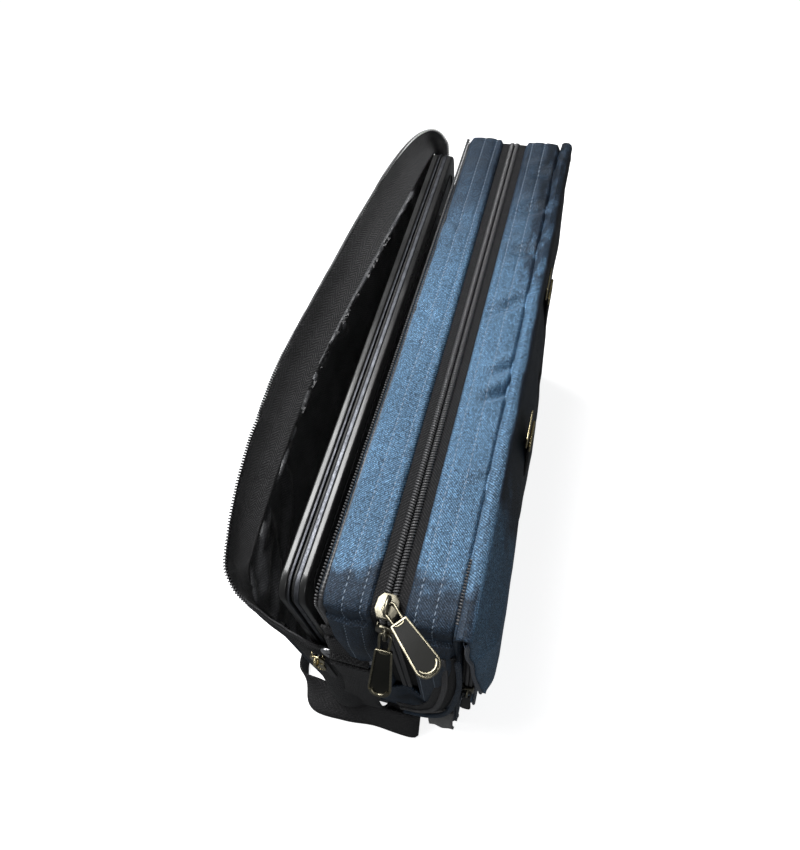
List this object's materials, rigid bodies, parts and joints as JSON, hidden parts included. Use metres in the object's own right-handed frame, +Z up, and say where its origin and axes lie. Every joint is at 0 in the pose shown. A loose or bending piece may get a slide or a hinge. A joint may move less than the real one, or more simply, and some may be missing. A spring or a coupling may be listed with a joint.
{
  "type": "telescope carry case",
  "caption": "Padded soft carry case: zipped main body, front flap over a zipped pocket, open rear sleeve holding a slim hard inner case, shoulder strap.",
  "frame": {"origin": "middle of the main body's base, on the surface it stands on", "axes": "+X along the long side, -Y to the flap side, +Y to the open sleeve side, +Z up"},
  "size_m": [0.4425, 0.178, 0.3053],
  "materials": {
    "blue_nylon": "woven nylon with a satin sheen",
    "zip_black": "black nylon coil zip and tape",
    "lining": "black satin lining",
    "board": "matt board",
    "webbing": "black herringbone webbing",
    "black_plastic": "moulded, satin",
    "steel": "bright plated steel",
    "pale_brass": "pale plated brass",
    "dark_nickel": "warm dark nickel plate",
    "pull_plate": "black enamel in a bright nickel rim",
    "black_rubber": "matt moulded rubber",
    "black_shell": "black satin shell",
    "silver_trim": "bright silver edge trim"
  },
  "bodies": {
    "case": {"base_panel": "blue_nylon", "base_board": "board", "front_wall": "blue_nylon", "rear_wall": "blue_nylon", "end_panel_near": "blue_nylon", "end_panel_far": "blue_nylon", "top_strip_rear": "blue_nylon", "top_strip_front": "blue_nylon", "main_zip_tape_rear": "zip_black", "main_zip_tape_front": "zip_black", "main_zip_chain": "zip_black", "sleeve_floor": "lining", "sleeve_end_near": "lining", "sleeve_end_far": "lining", "sleeve_zip_chain_near": "zip_black", "sleeve_zip_chain_far": "zip_black", "sleeve_zip_half_body": "zip_black", "pocket_panel": "blue_nylon", "pocket_zip_tape": "zip_black", "pocket_zip_chain": "zip_black", "pocket_gusset": "blue_nylon", "pocket_hook_patch": "zip_black", "strap_ring_near": "steel", "strap_ring_far": "steel", "ring_tab_near": "webbing", "ring_tab_far": "webbing", "strap_near_drop": "webbing", "strap_near_run": "webbing", "strap_rear_run": "webbing", "strap_far_run": "webbing", "strap_far_drop": "webbing", "strap_adjuster": "black_plastic"},
    "sleeve_cover": {"sleeve_cover_panel": "blue_nylon", "sleeve_cover_lining": "lining", "sleeve_cover_band": "lining", "sleeve_zip_half_cover": "zip_black"},
    "inner_case": {"inner_case_shell_front": "black_shell", "inner_case_trim_front": "silver_trim", "inner_case_seal": "black_rubber", "inner_case_trim_rear": "silver_trim", "inner_case_shell_rear": "black_shell"},
    "front_flap": {"front_flap": "blue_nylon", "flap_loop_patch": "zip_black", "handle_chape_near": "pale_brass", "handle_chape_far": "pale_brass"},
    "front_handle": {"front_handle": "webbing"},
    "main_slider_a": {"main_slider_a": "dark_nickel"},
    "main_pull_a": {"main_pull_a": "pull_plate"},
    "main_slider_b": {"main_slider_b": "dark_nickel"},
    "main_pull_b": {"main_pull_b": "pull_plate"},
    "sleeve_slider_near": {"sleeve_slider_near": "pale_brass"},
    "sleeve_pull_near": {"sleeve_pull_near": "pale_brass"},
    "sleeve_slider_far": {"sleeve_slider_far": "pale_brass"},
    "sleeve_pull_far": {"sleeve_pull_far": "pale_brass"},
    "pocket_slider": {"pocket_slider": "dark_nickel"},
    "pocket_pull": {"pocket_pull": "black_rubber"}
  },
  "joints": [
    {"name": "sleeve_cover_hinge", "type": "hinge", "parent": "case", "child": "sleeve_cover", "pos_m": [0, 0.0803, 0], "axis": [-1, 0, 0], "range_deg": [0, 25]},
    {"name": "inner_case_lift", "type": "slide", "parent": "case", "child": "inner_case", "axis": [0, 0, 1], "range_m": [0, 0.29]},
    {"name": "front_flap_hinge", "type": "hinge", "parent": "case", "child": "front_flap", "pos_m": [0, -0.0383, 0.3003], "axis": [-1, 0, 0], "range_deg": [0, 120]},
    {"name": "front_handle_hinge", "type": "hinge", "parent": "front_flap", "child": "front_handle", "pos_m": [0, -0.0542, 0.275], "axis": [-0.9997, -0.0225, 0], "range_deg": [0, 150]},
    {"name": "main_slider_a_travel", "type": "slide", "parent": "case", "child": "main_slider_a", "axis": [1, 0, 0], "range_m": [0, 0.372]},
    {"name": "main_pull_a_hinge", "type": "hinge", "parent": "main_slider_a", "child": "main_pull_a", "pos_m": [-0.1932, 0, 0.30295], "axis": [-0.7547, 0.6561, 0], "range_deg": [0, 150]},
    {"name": "main_slider_b_travel", "type": "slide", "parent": "case", "child": "main_slider_b", "axis": [0, 0, -1], "range_m": [0, 0.13]},
    {"name": "main_pull_b_hinge", "type": "hinge", "parent": "main_slider_b", "child": "main_pull_b", "pos_m": [-0.20295, 0, 0.283], "axis": [0, 1, 0], "range_deg": [0, 100]},
    {"name": "sleeve_slider_near_travel", "type": "slide", "parent": "case", "child": "sleeve_slider_near", "axis": [0, 0, -1], "range_m": [0, 0.055]},
    {"name": "sleeve_pull_near_hinge", "type": "hinge", "parent": "sleeve_slider_near", "child": "sleeve_pull_near", "pos_m": [-0.20565, 0.0575, 0.17775], "axis": [0, 1, 0], "range_deg": [0, 120]},
    {"name": "sleeve_slider_far_travel", "type": "slide", "parent": "case", "child": "sleeve_slider_far", "axis": [0, 0, -1], "range_m": [0, 0.055]},
    {"name": "sleeve_pull_far_hinge", "type": "hinge", "parent": "sleeve_slider_far", "child": "sleeve_pull_far", "pos_m": [0.20565, 0.0575, 0.17775], "axis": [0, -1, 0], "range_deg": [0, 120]},
    {"name": "pocket_slider_travel", "type": "slide", "parent": "case", "child": "pocket_slider", "axis": [0, 0, 1], "range_m": [0, 0.14]},
    {"name": "pocket_pull_hinge", "type": "hinge", "parent": "pocket_slider", "child": "pocket_pull", "pos_m": [-0.19045, -0.0432, 0.10425], "axis": [0, 1, 0], "range_deg": [0, 90]}
  ]
}
